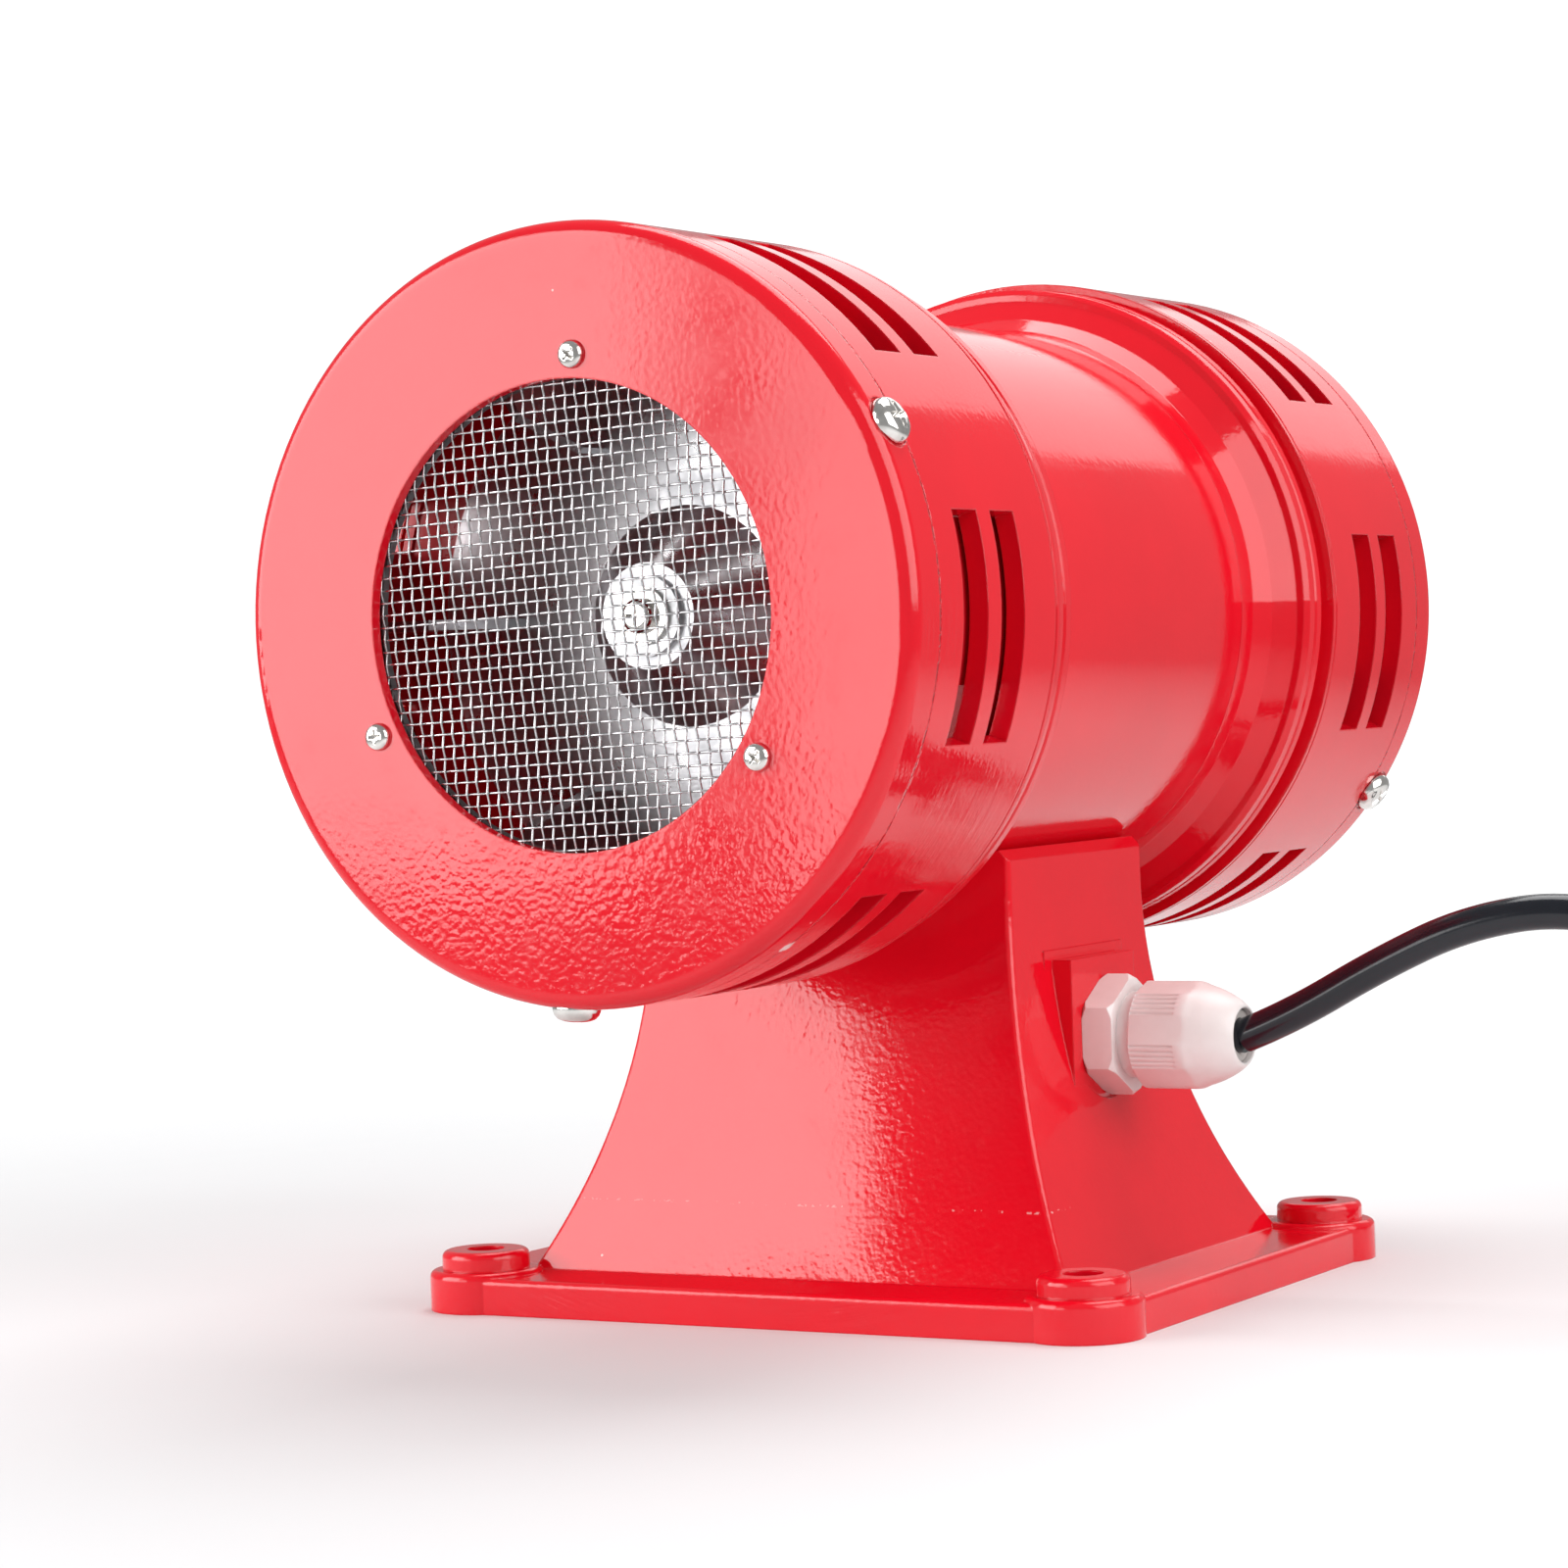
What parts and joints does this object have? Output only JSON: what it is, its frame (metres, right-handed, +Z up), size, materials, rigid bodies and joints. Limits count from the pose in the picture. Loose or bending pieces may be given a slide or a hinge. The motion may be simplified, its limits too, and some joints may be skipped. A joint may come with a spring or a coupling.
{
  "type": "alarm siren",
  "caption": "Double-headed motor siren: a barrel motor on a cast pedestal drives a slotted chopper head with meshed intake at each end; supply lead leaves through a side gland.",
  "frame": {"origin": "on the mounting surface, at the centre of the four base bolt holes", "axes": "+Z up; +Y along the rotor axis from the front head towards the rear head; +X towards the cable gland"},
  "size_m": [0.3107, 0.3018, 0.219],
  "materials": {
    "red_enamel": "glossy baked enamel with light orange peel",
    "dark_zinc": "zinc plated pressed steel",
    "steel_mesh": "plain woven stainless wire",
    "cast_aluminium": "bright turned casting",
    "nickel_screw": "nickel plated cross-recessed screw",
    "turned_steel": "turned steel",
    "bearing_steel": "ground bearing steel",
    "electrical_steel": "varnished laminations",
    "copper_winding": "enamelled copper wire",
    "commutator_copper": "turned copper bars",
    "brush_carbon": "carbon graphite",
    "brown_moulding": "moulded insulating compound",
    "brass_plain": "plain brass",
    "pale_nylon": "moulded pale nylon",
    "grey_rubber": "soft sealing rubber",
    "black_pvc": "glossy black cable sheath",
    "core_insulation": "coloured core insulation",
    "earth_insulation": "green and yellow core insulation",
    "red_lead": "flexible lead insulation",
    "tinned_copper": "tinned copper",
    "white_ceramic": "moulded terminal body"
  },
  "bodies": {
    "housing": {"barrel": "red_enamel", "bearing_outer_races": "bearing_steel", "brush_caps": "brass_plain", "brush_holders": "brown_moulding", "cord_ferrules": "tinned_copper", "cord_inner_end": "black_pvc", "cord_tail_cores": "core_insulation", "drum_flange_screws": "nickel_screw", "earth_core": "earth_insulation", "earth_screw": "brass_plain", "earth_tag": "tinned_copper", "field_coils": "copper_winding", "front_cover": "red_enamel", "front_cover_screws": "nickel_screw", "front_drum": "red_enamel", "front_end_bell": "red_enamel", "front_face_screws": "nickel_screw", "front_intake_mesh": "steel_mesh", "front_mesh_clamp_ring": "dark_zinc", "gland_body": "pale_nylon", "gland_dome_nut": "pale_nylon", "gland_lock_nut": "pale_nylon", "gland_seal": "grey_rubber", "left_brush_spring": "turned_steel", "motor_leads": "red_lead", "pedestal": "red_enamel", "power_cord": "black_pvc", "power_cord_coil": "black_pvc", "power_cord_tail": "black_pvc", "rear_cover": "red_enamel", "rear_cover_screws": "nickel_screw", "rear_drum": "red_enamel", "rear_end_bell": "red_enamel", "rear_face_screws": "nickel_screw", "rear_intake_mesh": "steel_mesh", "rear_mesh_clamp_ring": "dark_zinc", "right_brush_spring": "turned_steel", "saddle_screws": "nickel_screw", "stator_core": "electrical_steel", "supply_cores": "core_insulation", "terminal_block": "white_ceramic", "terminal_block_screw": "nickel_screw", "terminal_screws": "brass_plain", "through_bolt_nuts": "turned_steel", "through_bolts": "turned_steel"},
    "rotor": {"rotor_shaft": "turned_steel", "armature_core": "electrical_steel", "armature_winding": "copper_winding", "commutator": "commutator_copper", "bearing_inner_races": "bearing_steel", "impeller_bushes": "turned_steel", "impeller_spacers": "turned_steel", "impeller_washers": "nickel_screw", "impeller_screws": "nickel_screw", "front_impeller": "cast_aluminium", "rear_impeller": "cast_aluminium"},
    "bearing_balls": {"bearing_balls": "bearing_steel"},
    "left_brush": {"left_brush": "brush_carbon"},
    "right_brush": {"right_brush": "brush_carbon"}
  },
  "joints": [
    {"name": "rotor_spin", "type": "hinge", "parent": "housing", "child": "rotor", "pos_m": [0, 0, 0.144], "axis": [0, 1, 0], "continuous": true},
    {"name": "balls_spin", "type": "hinge", "parent": "housing", "child": "bearing_balls", "pos_m": [0, 0, 0.144], "axis": [0, 1, 0], "continuous": true},
    {"name": "left_brush_slide", "type": "slide", "parent": "housing", "child": "left_brush", "axis": [-1, 0, 0], "range_m": [0, 0.003], "stiffness_N_per_m": 200, "springref_m": -0.02, "deforming": ["left_brush_spring"]},
    {"name": "right_brush_slide", "type": "slide", "parent": "housing", "child": "right_brush", "axis": [1, 0, 0], "range_m": [0, 0.003], "stiffness_N_per_m": 200, "springref_m": -0.02, "deforming": ["right_brush_spring"]}
  ],
  "couplings": [
    {"joint": "balls_spin", "follows": "rotor_spin", "ratio": 0.3717}
  ]
}
